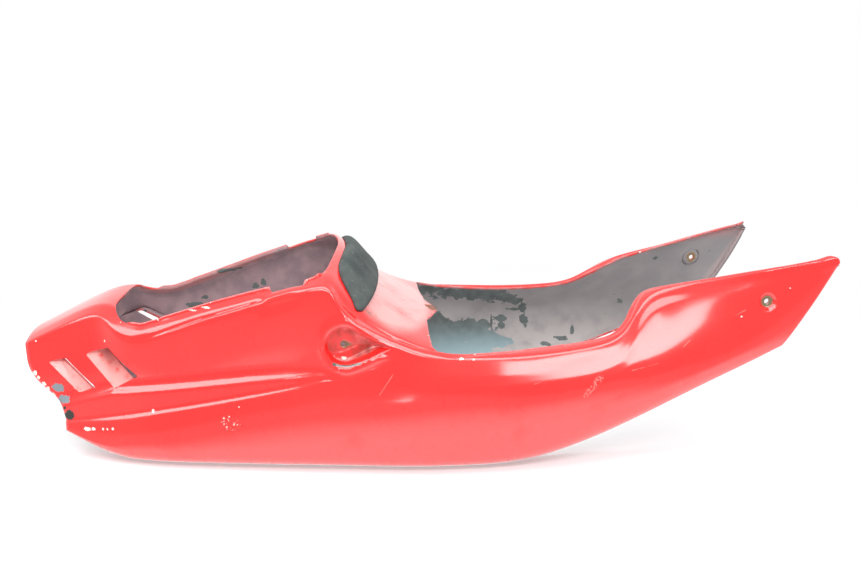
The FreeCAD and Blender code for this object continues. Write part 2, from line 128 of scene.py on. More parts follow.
# The flank above the crease, by place along the bike: narrow shelf, steep band, flare up to the panel.
FEATURE_X = [-430, -400, -368, -305, -243, -204, -164, -135, -118, -95]
SHELF_RISE = [2.5, 3.2, 3.8, 4, 4, 4, 3.6, 3, 2, 1]
SHELF_IN = [3, 4.2, 5.4, 5.6, 5.6, 5.5, 4.8, 3.8, 2.4, 0.6]
BAND_RISE = [15, 21, 25, 20, 16, 13, 9.5, 6, 4, 2]
BAND_IN = [2.6, 2.8, 3, 2.2, 1.8, 1.4, 1, 0.6, 0.4, 0.4]
FLARE_RISE = [7, 8, 8.5, 8.5, 8.5, 8.5, 8, 7, 6, 5]
FLARE_IN = [8, 10, 11.5, 11.3, 11.2, 11, 9.5, 7.5, 4.5, 1.5]
BAND_BACK = [4, 1, 0, 0, 0, 0, 0, 0, 0, 0]
FLARE_BACK = [6, 3, 0, 0, 0, 0, 0, 0, 0, 0]
FEATURE_END = (-118.0, -50.0)
# The front edges of the prongs run on past the drawn guides' ends, and their upper corners are rounded.
TIP_RADIUS, TIP_ANGLE, TOP_SLOPE, TOP_PLACE = 6.0, 42.0, 10.4, 10.5
RUN_ON, TRIM_REACH = 4.0, 60.0
FAR_LEAN_Z, FAR_LEAN = (110, 148, 218, 229.5, 232), (0, -3.0, 10.8, 10.0, 7.5)
FAR_TIP_RISE, RISE_REACH, RISE_FROM, RISE_OVER = 1.8, 120.0, 5.0, 4.0
FLANGE_BEND, FLANGE_WIDTH, FLANGE_SETBACK = 3.8, 5.5, 2.2
FLANGE_START, FLANGE_END, FLANGE_FADE = 2.0, 9.75, 3.5

# Openings in plan and recesses in the side view.
PASSENGER = [
    (-371, 0), (-370, 48), (-361, 71), (-338, 86.5), (-295, 92.5), (-253, 98.5), (-215, 107),
    (-178, 115)]
PASSENGER_NOTCH = [(-177, 121), (-137, 130)]
PASSENGER_FRONT = [(-136, 124.5), (-125, 122), (-117, 108), (-110, 70), (-104, 0)]
SADDLE_BREAK = [(3, 146), (2, 108), (3, 60), (8, 52), (21, 10), (19, -1), (6, -22), (2, -82), (3, -146)]
RIM = [
    (8, 154), (22, 154.5), (80, 143.5), (120, 135), (160, 129), (201, 123.5), (220, 118.5),
    (235, 106.5), (254, 82), (268, 74), (287, 79.5), (331, 89), (387, 100), (441, 109), (490, 111)]
LOUVRES = [[(-452, 108), (-429, 114), (-391, 83), (-412, 75)],
           [(-404, 121), (-373, 131), (-336, 101), (-366, 85)]]
LOUVRE_REAR, LOUVRE_DEPTH, LOUVRE_SLOT = 0.6, 11.0, 6.5
TEAR_CENTRE, TEAR_POINT, TEAR_RADIUS, TEAR_DEPTH = (-95.0, 150.0), (-44.0, 149.0), 21.0, 8.0
TEAR_SCREW, TEAR_HOLE, TEAR_LIP = (-97.0, 150.5), 5.5, 1.2
CUP_CENTRE, CUP_DIAMETER, CUP_DEPTH, CUP_LIP = (403.0, 180.0), 20.0, 4.0, 1.0
FRONT_HOLE, CUP_SOIL, HOLE_SOIL = 6.5, 0.6, 1.6
# Rings of a recess: share of its edge about the centre, depth below the skin, how flat it already lies.
TEAR_RINGS = [
    (0.955, 1.3, 0), (0.87, 5.0, 0), (0.81, 7.2, 0), (0.74, 8.0, 0.15), (0.5, 8.0, 0.7), (0.28, 8.0, 1)]
CUP_RINGS = [(0.93, 0.6, 0), (0.82, 2.4, 0), (0.74, 3.6, 0.1), (0.64, 4.0, 0.5), (0.48, 4.0, 1)]

# Relief along the edges; a run along the bike is its start, the ease in, its stop and the ease out.
STRIP_RISE, STRIP_WIDTH, STRIP_EASE, STRIP_RUN = 0.9, 9.5, 1.6, (-372, 25, -140, 16)
GUTTER_DEPTH, GUTTER_PLACE, GUTTER_WIDTH = 1.2, 12.6, 1.3
STEP_DEPTH, STEP_WIDTH, STEP_EASE, STEP_RUN = 1.7, 8.5, 2.2, (6, 40, 478, 16)
VALLEY_DEPTH, VALLEY_PLACE, VALLEY_WIDTH, VALLEY_RUN = 2.4, 10.52, 0.16, (-112, 16, 12, 50)
UPTURN, UPTURN_LEAN, UPTURN_RUN = 3.6, 0.4, (-352, 8, -177.4, 0.8)
TAB_SHARE, TAB_RUN = 0.7, (-138, 1.5, -119, 3)
RING_RISE, RING_PLACE, RING_WIDTH, RING_REACH, RING_RUN_ON = 2.2, 5.5, 3.4, 34.0, 70.0
RIM_STRIP, RIM_FROM_Z = 14.0, 120.0
# Parts of the section, by place across it, that the edges' relief, the cuts and the ring reach.
RELIEF_FROM, TOP_FROM = 9.6, 9.7
SIDE_PLACES, PRONG_PLACES, RING_PLACES = (5.0, 10.5), (1.6, 9.6), (5.2, 10.2)
SNAP, SKIN_WELD, PAD_WELD, SHARP_ANGLE = 0.7, 0.25, 0.05, 38.0

# The pad, across and up the slope of the hump's front.
PAD_OUTLINE = [
    (0, 16), (50, 17), (85, 15), (104, 8), (116, -4), (125, -17), (135, -28), (133, -33), (118, -36),
    (80, -39), (0, -41)]
PAD_SLOPE, PAD_ORIGIN, PAD_THICKNESS = 52.0, (-84.0, 0.0, 219.0), 10.0
PAD_MIDDLE, PAD_CROWN, PAD_LIFT, PAD_FOOT = (0.0, -16.0), 9, 0.4, 0.2
PAD_LEVELS = [0.0, 0.15, 0.3, 0.45, 0.6, 0.72, 0.82, 0.89, 0.94, 0.975, 0.993, 1.0]


def monotone(xs, ys):
    """Shape-keeping cubic through the points, straight beyond its ends."""
    xs, ys = np.array(xs, float), np.array(ys, float)
    gaps = np.diff(xs)
    rises = np.diff(ys) / gaps
    slopes = np.concatenate([rises[:1], np.zeros(len(rises) - 1), rises[-1:]])
    for i in range(1, len(rises)):
        before, after = rises[i - 1], rises[i]
        if before * after > 0:
            near = 2 * gaps[i] + gaps[i - 1]
            far = gaps[i] + 2 * gaps[i - 1]
            slopes[i] = (near + far) / (near / before + far / after)

    def value(x):
        x = np.asarray(x, float)
        i = np.clip(np.searchsorted(xs, x) - 1, 0, len(gaps) - 1)
        t = (x - xs[i]) / gaps[i]
        inner = np.clip(t, 0, 1)
        keep = (1 - inner) ** 2
        cubic = (ys[i] * (1 + 2 * inner) * keep + slopes[i] * gaps[i] * inner * keep
                 + ys[i + 1] * inner ** 2 * (3 - 2 * inner)
                 + slopes[i + 1] * gaps[i] * inner ** 2 * (inner - 1))
        beyond = np.where(t < 0, slopes[0] * (x - xs[0]), np.where(t > 1, slopes[-1] * (x - xs[-1]), 0))
        return cubic + beyond

    return value


def ease(t):
    t = np.clip(t, 0, 1)
    return t * t * (3 - 2 * t)


def between(x, start, ease_in, stop, ease_out):
    """One on a run along the bike, easing to zero at both ends."""
    return ease((x - start) / ease_in) * ease((stop - x) / ease_out)


def bell(values, place, width):
    return np.exp(-((values - place) / width) ** 2)


def within(values, limits):
    return (values > limits[0]) & (values < limits[1])


def skin_net():
    """Poles of the near half of the skin: one row per station, lower lip to the middle of the top."""
    rows = []
    lines = []
    for points in HALF_SECTION:
        xs, widths, rises = zip(*points)
        lines.append((xs[0], xs[-1], monotone(xs, widths), monotone(xs, rises)))
    for station in STATIONS:
        rear = ease(1 - (station - REAR_X) / REAR_BLEND)
        front = ease(1 - (FRONT_X - station) / FRONT_BLEND)
        near = []
        for first, last, width, rise in lines:
            x = station + (first - REAR_X) * rear + (last - FRONT_X) * front
            near.append((x, -float(width(x)), float(rise(x))))
        edge, centre = near[-2], near[-1]
        near.insert(-1, ((edge[0] + centre[0]) / 2, edge[1] / 2, edge[2] * 0.25 + centre[2] * 0.75))
        rows.append(near)
    return np.array(rows)


def basis(count, params, degree=3):
    """Values of clamped uniform B-spline functions at the parameters."""
    spans = count - degree
    knots = np.concatenate([np.zeros(degree), np.arange(spans + 1), np.full(degree, spans)])
    params = np.clip(params, 0, spans - 1e-9)
    values = np.array([(params >= a) & (params < b) for a, b in zip(knots, knots[1:])], float)
    for k in range(1, degree + 1):
        raised = []
        for i in range(len(knots) - 1 - k):
            left = knots[i + k] - knots[i]
            right = knots[i + k + 1] - knots[i + 1]
            value = np.zeros(len(params))
            if left > 0:
                value += (params - knots[i]) / left * values[i]
            if right > 0:
                value += (knots[i + k + 1] - params) / right * values[i + 1]
            raised.append(value)
        values = np.array(raised)
    return values.T


def spacing(x):
    """Distance between neighbouring grid rows along the bike."""
    if -130 < x < -60:
        return 2.2
    if -460 < x < -330:
        return 2.6
    return 4.0


def row_params():
    fine = np.linspace(0, len(STATIONS) - 3, 6000)
    xs = basis(len(STATIONS), fine) @ np.array(STATIONS, float)
    wanted = [xs[0]]
    while wanted[-1] < xs[-1]:
        wanted.append(wanted[-1] + spacing(wanted[-1]))
    wanted[-1] = xs[-1]
    return np.interp(wanted, xs, fine)


def section_corners(rows):
    """Corners of the near half section at every row, with the shelf, band and flare above the crease."""
    *lower, crease, groove, panel, bead, edge, shoulder, centre = np.moveaxis(rows, 1, 0)
    x = crease[:, 0]

    def step(start, inward, rise, back=None):
        moved = start.copy()
        if back:
            moved[:, 0] -= np.interp(x, FEATURE_X, back)
        moved[:, 1] += np.interp(x, FEATURE_X, inward)
        moved[:, 2] += np.interp(x, FEATURE_X, rise)
        return moved

    shelf = step(crease, SHELF_IN, SHELF_RISE)
    band = step(shelf, BAND_IN, BAND_RISE, BAND_BACK)
    flare = step(band, FLARE_IN, FLARE_RISE, FLARE_BACK)
    plain = ease((x - FEATURE_END[0]) / (FEATURE_END[1] - FEATURE_END[0]))[:, None]
    shelf = shelf * (1 - plain) + (crease * 0.5 + groove * 0.5) * plain
    band = band * (1 - plain) + groove * plain
    flare = flare * (1 - plain) + (groove * 0.6 + panel * 0.4) * plain
    over = shoulder * np.array([1, -1, 1])
    return [*lower, crease, shelf, band, flare, panel, bead, edge, shoulder, centre, over]


def half_grid(rows):
    """Columns of the near half of the skin up to the middle, and each column's place across the section."""
    corners = section_corners(rows)
    x = corners[SECTION.index("crease")][:, 0]
    starts, stops = [corners[0]], [corners[0]]
    for k, name in enumerate(SECTION[1:], start=1):
        width = np.interp(x, *BENDS.get(name, ([0], [SOFT])))
        ends = []
        for other in (corners[k - 1], corners[k + 1]):
            gap = other - corners[k]
            length = np.linalg.norm(gap, axis=1)
            ends.append(corners[k] + gap * (np.minimum(width, length * 0.485) / (length + 1e-9))[:, None])
        starts.append(ends[0])
        stops.append(ends[1])
    columns, places = [], []
    last = len(SECTION) - 1
    for k in range(last + 1):
        count = ROUND_COLUMNS[k]
        reach = 0.5 if k == last else 1.0
        for t in np.linspace(0, reach, count, endpoint=k == last):
            columns.append(starts[k] * (1 - t) ** 2 + corners[k] * 2 * t * (1 - t) + stops[k] * t * t)
            places.append(k + (t - 0.5) * 0.5 if k else 0.0)
        if k < last:
            for t in np.linspace(0, 1, RUN_COLUMNS[k], endpoint=False):
                columns.append(stops[k] * (1 - t) + starts[k + 1] * t)
                places.append(k + 0.25 + t * 0.5)
    return np.stack(columns, axis=1), np.array(places)


def return_share(places):
    """Size of the inward return along a prong's front edge: none at the lower lip and at the tip."""
    return ease((FLANGE_END - places) / FLANGE_FADE) * ease(places / FLANGE_START)


def tip_setback(end, places):
    """How far the rounded tip of a prong stands back from a sharp corner, for each column's end point."""
    lean, corner = math.radians(TOP_SLOPE), math.radians(TIP_ANGLE)
    top = end[np.argmax(places >= TOP_PLACE)]
    below = (top[2] - end[:, 2]) * math.cos(lean) + (end[:, 0] - top[0]) * math.sin(lean)
    below = np.clip(below, 0, TIP_RADIUS * (1 + math.cos(corner)))
    arc = np.sqrt(TIP_RADIUS ** 2 - (TIP_RADIUS - below) ** 2)
    return TIP_RADIUS / math.tan(corner / 2) - arc - below / math.tan(corner)


def skin_grid():
    """Points of the outer skin from the near lip over the top to the far lip, and each column's place."""
    rows = basis(len(STATIONS), row_params()) @ skin_net().reshape(len(STATIONS), -1)
    near, places = half_grid(rows.reshape(len(rows), -1, 3))
    far = near[:, -2::-1] * np.array([1, -1, 1])
    grid = np.concatenate([near, far], axis=1)
    places = np.concatenate([places, places[-2::-1]])
    on_far = np.arange(len(places)) >= near.shape[1]
    trim = tip_setback(grid[-1], places) + on_far * np.interp(grid[-1, :, 2], FAR_LEAN_Z, FAR_LEAN)
    trim += FLANGE_SETBACK * return_share(places) - RUN_ON
    ahead = grid[-1] - grid[-9]
    ahead /= ahead[:, :1]
    share = trim * ease((grid[..., 0] - grid[-1, :, 0] + TRIM_REACH) / TRIM_REACH)
    grid -= share[..., None] * ahead
    rise = FAR_TIP_RISE * on_far * ease((places - RISE_FROM) / RISE_OVER)
    grid[..., 2] += rise * ease((grid[..., 0] - FRONT_X + RISE_REACH) / RISE_REACH)
    return grid, places


def grid_normals(grid):
    along = np.gradient(grid, axis=0)
    across = np.gradient(grid, axis=1)
    normal = np.cross(along, across)
    normal /= np.linalg.norm(normal, axis=2, keepdims=True) + 1e-12
    return normal


def smooth_line(points, count=12):
    """Centripetal curve through the points."""
    points = np.array(points, float)
    gaps = np.linalg.norm(np.diff(points, axis=0), axis=1) ** 0.5
    at = np.concatenate([[0], np.cumsum(gaps)])
    fine = np.interp(np.arange((len(points) - 1) * count + 1) / count, np.arange(len(points)), at)
    tangents = np.gradient(points, at, axis=0)
    i = np.clip(np.searchsorted(at, fine, side="right") - 1, 0, len(points) - 2)
    span = (at[i + 1] - at[i])[:, None]
    t = (fine - at[i])[:, None] / span
    return ((2 * t ** 3 - 3 * t ** 2 + 1) * points[i] + (t ** 3 - 2 * t ** 2 + t) * span * tangents[i]
            + (3 * t ** 2 - 2 * t ** 3) * points[i + 1] + (t ** 3 - t ** 2) * span * tangents[i + 1])


def mirrored(points):
    return [(x, -y) for x, y in reversed([tuple(p) for p in points])]


def passenger_outline():
    lines = (PASSENGER, PASSENGER_NOTCH, PASSENGER_FRONT)
    near, notch, front = [[(x, -w) for x, w in line] for line in lines]
    rear_curve = smooth_line(mirrored(near) + near[1:])
    front_curve = smooth_line(front + mirrored(front)[1:])
    return np.array([*rear_curve, *notch, *front_curve, *mirrored(notch)])


def seat_outline():
    near = smooth_line([(x, -w) for x, w in RIM])
    reach = FRONT_X + 40.0
    tip = near[-1]
    return np.array([*near, (reach, tip[1]), (reach, -tip[1]), *mirrored(near), *mirrored(SADDLE_BREAK)])


def nearest(points, outline):
    """Nearest outline point and signed distance, negative inside, for points in the outline's plane."""
    ends = np.roll(outline, -1, axis=0)
    best = np.full(len(points), np.inf)
    foot = np.zeros_like(points)
    inside = np.zeros(len(points), bool)
    for a, b in zip(outline, ends):
        edge = b - a
        length = edge @ edge
        if length < 1e-9:
            continue
        t = np.clip(((points - a) @ edge) / length, 0, 1)
        spot = a + t[:, None] * edge
        gap = np.linalg.norm(points - spot, axis=1)
        closer = gap < best
        best[closer] = gap[closer]
        foot[closer] = spot[closer]
        crosses = (a[1] > points[:, 1]) != (b[1] > points[:, 1])
        if a[1] != b[1]:
            cut = a[0] + (points[:, 1] - a[1]) / (b[1] - a[1]) * edge[0]
            inside ^= crosses & (points[:, 0] < cut)
    return foot, np.where(inside, -best, best)


def teardrop_outline(radius):
    cx, cz = TEAR_CENTRE
    px, pz = TEAR_POINT
    lean = math.atan2(pz - cz, px - cx)
    spread = math.acos(TEAR_RADIUS / math.hypot(px - cx, pz - cz))
    angles = np.linspace(spread, 2 * math.pi - spread, 48)
    arc = [(cx + radius * math.cos(lean + a), cz + radius * math.sin(lean + a)) for a in angles]
    reach = radius / math.cos(spread)
    return np.array(arc + [(cx + reach * math.cos(lean), cz + reach * math.sin(lean))])


def circle_outline(centre, radius):
    angles = np.linspace(0, 2 * math.pi, 28, endpoint=False)
    return np.array([(centre[0] + radius * math.cos(a), centre[1] + radius * math.sin(a)) for a in angles])


def outline_gap(grid, outline, axes):
    """Signed distance from an outline in plan or in the side view, for every grid point."""
    return nearest(grid[..., axes].reshape(-1, 2), outline)[1].reshape(grid.shape[:2])


def grid_quads(grid):
    rows, columns = grid.shape[:2]
    firsts = [i * columns + j for i in range(rows - 1) for j in range(columns - 1)]
    return [[k, k + 1, k + columns + 1, k + columns] for k in firsts]


def skin_tree(grid):
    """Search tree over the faces of a grid."""
    return BVHTree.FromPolygons([Vector(p) for p in grid.reshape(-1, 3)], grid_quads(grid))


def flank_width(base):
    """Function for the half width of the bare flank at a side-view point."""
    tree = skin_tree(base[:, :base.shape[1] // 2 + 1])
    return lambda x, z: -tree.ray_cast(Vector((x, -400.0, z)), Vector((0, 1, 0)))[0].y


def shape_edges(grid, places):
    """Strip and gutter round the passenger opening, stepped rim of the rider's seat, valley by the hump."""
    x = grid[..., 0]
    place = np.broadcast_to(places[None, :], x.shape)
    normal = grid_normals(grid)
    top = place > RELIEF_FROM
    away = outline_gap(grid, passenger_outline(), PLAN)
    fold = STRIP_RISE * ease((STRIP_WIDTH - away) / STRIP_EASE)
    fold -= GUTTER_DEPTH * bell(away, GUTTER_PLACE, GUTTER_WIDTH)
    fold *= between(x, *STRIP_RUN) * (top & (x < -90) & (away > -6))
    grid += normal * fold[..., None]
    away = outline_gap(grid, seat_outline(), PLAN)
    step = -STEP_DEPTH * ease((STEP_WIDTH - away) / STEP_EASE) * between(x, *STEP_RUN)
    grid += normal * (step * (top & (x > 0) & (away > -6)))[..., None]
    valley = -VALLEY_DEPTH * bell(place, VALLEY_PLACE, VALLEY_WIDTH) * between(x, *VALLEY_RUN)
    grid += normal * valley[..., None]


def raise_rings(grid, places):
    """Soft raised ring behind the teardrop recess, running on below it."""
    x, z = grid[..., 0], grid[..., 2]
    flank = within(places, RING_PLACES)[None, :] & (x < 0)
    away = outline_gap(grid, teardrop_outline(TEAR_RADIUS), SIDE_VIEW)
    reach = TEAR_CENTRE[0] + RING_REACH + RING_RUN_ON * ease((TEAR_CENTRE[1] - 4 - z) / 12)
    ring = RING_RISE * bell(away, RING_PLACE, RING_WIDTH) * ease((reach - x) / 40)
    grid += grid_normals(grid) * (ring * flank)[..., None]


def add_return(grid, places):
    """More rows that turn the front edge of each prong inward on a small arc."""
    normal = grid_normals(grid)[-1]
    ahead = grid[-1] - grid[-3]
    ahead -= normal * (ahead * normal).sum(axis=1, keepdims=True)
    ahead /= np.linalg.norm(ahead, axis=1, keepdims=True)
    size = return_share(places)[:, None]
    rows = []
    for turn in np.radians((30, 60, 90)):
        bent = ahead * math.sin(turn) - normal * (1 - math.cos(turn))
        rows.append(grid[-1] + size * FLANGE_BEND * bent)
    rows.append(rows[-1] - normal * FLANGE_WIDTH * size)
    return np.concatenate([grid, rows])


def clip_grid(grid, cuts):
    """Grid cut by the openings: vertices, faces, and for each vertex the cut it lies on or -1."""
    points = grid.reshape(-1, 3).copy()
    value = np.full(len(points), 1e3)
    owner = np.full(len(points), -1)
    for number, (outline, axes, reach) in enumerate(cuts):
        foot, gap = nearest(points[:, axes], outline)
        gap = np.where(reach.ravel(), gap, np.inf)
        near = np.abs(gap) < SNAP
        points[np.ix_(near, axes)] = foot[near]
        gap[near] = 0.0
        closer = gap < value
        value[closer] = gap[closer]
        owner[closer] = number
    on_edge = [int(o) if v == 0 else -1 for o, v in zip(owner, value)]
    points = list(map(tuple, points))
    split = {}

    def crossing(a, b):
        key = (min(a, b), max(a, b))
        if key not in split:
            t = value[a] / (value[a] - value[b])
            split[key] = len(points)
            points.append(tuple(p + (q - p) * t for p, q in zip(points[a], points[b])))
            on_edge.append(int(owner[b] if value[b] < value[a] else owner[a]))
        return split[key]

    faces = []
    for quad in grid_quads(grid):
        signs = value[quad]
        if signs.min() >= 0:
            if signs.max() > 0:
                faces.append(quad)
            continue
        if signs.max() <= 0:
            continue
        ring = []
        for k, a in enumerate(quad):
            b = quad[(k + 1) % 4]
            if value[a] >= 0:
                ring.append(a)
            if value[a] * value[b] < 0:
                ring.append(crossing(a, b))
        if len(ring) > 2:
            faces.append(ring)
    return points, faces, on_edge


def edge_loop(bm, members):
    """Boundary vertices of one cut in order round it."""
    links = {}
    for edge in bm.edges:
        a, b = edge.verts
        if len(edge.link_faces) == 1 and a in members and b in members:
            links.setdefault(a, []).append(b)
            links.setdefault(b, []).append(a)
    start = next(iter(links))
    loop = [start]
    before, here = None, start
    while True:
        ahead = [v for v in links[here] if v is not before]
        if not ahead or ahead[0] is start:
            return loop
        before, here = here, ahead[0]
        loop.append(here)


def join_rings(bm, outer, inner):
    for k in range(len(outer)):
        n = (k + 1) % len(outer)
        bm.faces.new([outer[k], outer[n], inner[n], inner[k]])


def add_dish(bm, loop, side, width_at, centre, rings, screw, hole_radius, depth, soil=0.0):
    """Rings from the edge of a round or teardrop recess down to a flat floor with a hole in it."""
    floor = width_at(*screw) - depth
    edge = [(v.co.x, v.co.z) for v in loop]
    grime_and_shade = bm.verts.layers.float["grime_and_shade"]
    for share, below, flat in rings:
        ring = []
        for x, z in edge:
            x, z = centre[0] + (x - centre[0]) * share, centre[1] + (z - centre[1]) * share
            width = max(width_at(x, z) - below, floor)
            ring.append(bm.verts.new((x, side * (width + (floor - width) * flat), z)))
            # Each ring is darker the deeper it lies, which is painted shade in the recess, plus soil on the
            # flat floor, which is dirt.
            ring[-1][grime_and_shade] = min(1.0, below / depth) ** 2 + soil * flat
        join_rings(bm, loop, ring)
        loop = ring
    hole = []
    for v in loop:
        angle = math.atan2(v.co.z - screw[1], v.co.x - screw[0])
        hole.append(bm.verts.new((screw[0] + hole_radius * math.cos(angle), side * floor,
                                  screw[1] + hole_radius * math.sin(angle))))
        hole[-1][grime_and_shade] = HOLE_SOIL
    join_rings(bm, loop, hole)


def add_upturn(bm, loop):
    """Upturned flange along both sides of the passenger opening, with a short tab at each front corner."""
    rim = bm.verts.layers.float["rim"]
    tops = []
    for v in loop:
        x, y, z = v.co
        rise = UPTURN * float(between(x, *UPTURN_RUN) + TAB_SHARE * between(x, *TAB_RUN))
        if rise > 0.1:
            v = bm.verts.new((x, y - math.copysign(UPTURN_LEAN, y), z + rise))
            v[rim] = 1.0
        tops.append(v)
    for k, v in enumerate(loop):
        n = (k + 1) % len(loop)
        ring = list(dict.fromkeys([v, loop[n], tops[n], tops[k]]))
        if len(ring) > 2:
            bm.faces.new(ring)


def louvre_floor(width_at, outline, side):
    """Depth plane of a louvre: flush along the rear edge, deepest along the front."""
    rear_top, _, front_low, rear_low = outline
    spots = []
    for (x, z), depth in ((rear_top, LOUVRE_REAR), (rear_low, LOUVRE_REAR), (front_low, LOUVRE_DEPTH)):
        spots.append(Vector((x, side * (width_at(x, z) - depth), z)))
    a, b, c = spots
    normal = (b - a).cross(c - a)
    return lambda x, z: a.y - (normal.x * (x - a.x) + normal.z * (z - a.z)) / normal.y


def add_louvre(bm, loop, outline, floor):
    """Walls and sloping floor of a louvre, with a slot left open along the front edge."""
    rear_top, front_top, _, rear_low = [Vector(p) for p in outline]
    reach = (front_top - rear_top).length
    ahead = (front_top - rear_top).normalized()
    down = (rear_low - rear_top).normalized()
    turn = ahead.x * down.y - ahead.y * down.x

    def share(v):
        gap = Vector((v.co.x, v.co.z)) - rear_top
        return (gap.x * down.y - gap.y * down.x) / turn / reach

    dust_and_painted_highlight = bm.verts.layers.float["dust_and_painted_highlight"]
    low = [bm.verts.new((v.co.x, floor(v.co.x, v.co.z), v.co.z)) for v in loop]
    join_rings(bm, loop, low)
    limit = 1 - LOUVRE_SLOT / reach
    ring = []
    for k, v in enumerate(low):
        n = low[(k + 1) % len(low)]
        here, there = share(v), share(n)
        if here <= limit:
            ring.append(v)
        if (here - limit) * (there - limit) < 0:
            ring.append(bm.verts.new(v.co.lerp(n.co, (limit - here) / (there - here))))
    # Pale pink on the floor: partly dust, partly a painted highlight on the up-facing floor.
    for v in bm.faces.new(ring).verts:
        v[dust_and_painted_highlight] = 1.0


def rim_share(points):
    """One at the free edges of the two seat openings, falling to zero over a narrow strip of the skin."""
    gaps = [np.abs(nearest(points[:, PLAN], line)[1]) for line in (passenger_outline(), seat_outline())]
    return ease((RIM_STRIP - np.minimum(*gaps)) / RIM_STRIP) * (points[:, 2] > RIM_FROM_Z)


def openings(grid, places):
    """Cuts as (outline, axes, reach), and each pocket's cut number, side and form."""
    x = grid[..., 0]
    place = np.broadcast_to(places[None, :], x.shape)
    top = place > TOP_FROM
    side = within(place, SIDE_PLACES)
    prong = within(place, PRONG_PLACES) & (x > 330)
    cuts = [(passenger_outline(), PLAN, top & (x < 20)), (seat_outline(), PLAN, top & (x > -20))]
    pockets = []
    tear = teardrop_outline(TEAR_RADIUS + TEAR_LIP)
    cup = circle_outline(CUP_CENTRE, CUP_DIAMETER / 2 + CUP_LIP)
    for sign in (-1, 1):
        here = grid[..., 1] * sign > 0
        forms = [(outline, np.array(outline, float), side & (x < -300)) for outline in LOUVRES]
        forms += [("teardrop", tear, side & within(x, (-170, 0))), ("cup", cup, prong)]
        for form, outline, reach in forms:
            pockets.append((len(cuts), sign, form))
            cuts.append((outline, SIDE_VIEW, reach & here))
    return cuts, pockets


def place_object(name, data):
    thing = bpy.data.objects.new(name, data)
    bpy.context.scene.collection.objects.link(thing)
    return thing


def make_piece(bm, name, weld):
    """Smooth object from a mesh drawn in millimetres, welded and moved to the row frame."""
    bmesh.ops.remove_doubles(bm, verts=bm.verts, dist=weld)
    bmesh.ops.recalc_face_normals(bm, faces=bm.faces)
    for v in bm.verts:
        v.co = Vector((v.co.x - MIDDLE_X, v.co.y, v.co.z)) * MM
    mesh = bpy.data.meshes.new(name)
    bm.to_mesh(mesh)
    bm.free()
    mesh.shade_smooth()
    return place_object(name, mesh)


def build_shell():
    """The moulded shell, and the bare skin that the pad seats on."""
    base, places = skin_grid()
    grid = base.copy()
    shape_edges(grid, places)
    raise_rings(grid, places)
    grid = add_return(grid, places)
    cuts, pockets = openings(grid, places)
    points, faces, on_edge = clip_grid(grid, cuts)

    bm = bmesh.new()
    for name in ("rim", "grime_and_shade", "dust_and_painted_highlight"):
        bm.verts.layers.float.new(name)
    rim = bm.verts.layers.float["rim"]
    verts = [bm.verts.new(p) for p in points]
    for v, share in zip(verts, rim_share(np.array(points))):
        v[rim] = share
    for ring in faces:
        bm.faces.new([verts[k] for k in ring])

    def loop_of(number):
        return edge_loop(bm, {verts[k] for k, owner in enumerate(on_edge) if owner == number})

    add_upturn(bm, loop_of(0))
    width_at = flank_width(base)
    dishes = {"teardrop": (TEAR_CENTRE, TEAR_RINGS, TEAR_SCREW, TEAR_HOLE / 2, TEAR_DEPTH),
              "cup": (CUP_CENTRE, CUP_RINGS, CUP_CENTRE, FRONT_HOLE / 2, CUP_DEPTH, CUP_SOIL)}
    for number, sign, form in pockets:
        if isinstance(form, str):
            add_dish(bm, loop_of(number), sign, width_at, *dishes[form])
        else:
            add_louvre(bm, loop_of(number), form, louvre_floor(width_at, form, sign))
    bmesh.ops.delete(bm, geom=[v for v in bm.verts if not v.link_faces], context="VERTS")
    skin = make_piece(bm, "tail_shell_skin", SKIN_WELD)
    skin.data.set_sharp_from_angle(angle=math.radians(SHARP_ANGLE))
    wall = skin.modifiers.new("wall", "SOLIDIFY")
    wall.thickness = WALL * MM
    wall.offset = -1.0
    wall.material_offset = 1
    wall.material_offset_rim = 2
    return skin, base


def build_pad(base):
    """Foam pad on the front of the hump: a crowned form that follows the skin."""
    skin = skin_tree(base)
    lean = math.radians(PAD_SLOPE)
    out = Vector((math.sin(lean), 0, math.cos(lean)))
    up = Vector((-math.cos(lean), 0, math.sin(lean)))
    near = [(-w, s) for w, s in PAD_OUTLINE]
    ring = near + [(-w, s) for w, s in reversed(near[1:-1])]
    outline = smooth_line(ring + ring[:1], count=8)[:-1]
    middle = np.array(PAD_MIDDLE)
    bm = bmesh.new()

    def spot(w, s, lift):
        origin = Vector(PAD_ORIGIN) + Vector((0, w, 0)) + up * s
        hit = skin.ray_cast(origin + out * 60, -out, 140)[0]
        return bm.verts.new((hit if hit is not None else origin) + out * lift)

    def layer(level, lift):
        return [spot(*(middle + (point - middle) * level), lift) for point in outline]

    lifts = [max(PAD_THICKNESS * (1 - level ** PAD_CROWN) ** 0.5, PAD_LIFT) for level in PAD_LEVELS]
    layers = list(map(layer, PAD_LEVELS, lifts))
    foot = layer(0.99, PAD_FOOT)
    for inner, outer in zip(layers, layers[1:] + [foot]):
        join_rings(bm, inner, outer)
    under = spot(*middle, PAD_FOOT)
    for k, v in enumerate(foot):
        bm.faces.new([v, foot[(k + 1) % len(foot)], under])
    return make_piece(bm, "backrest_pad_foam", PAD_WELD)


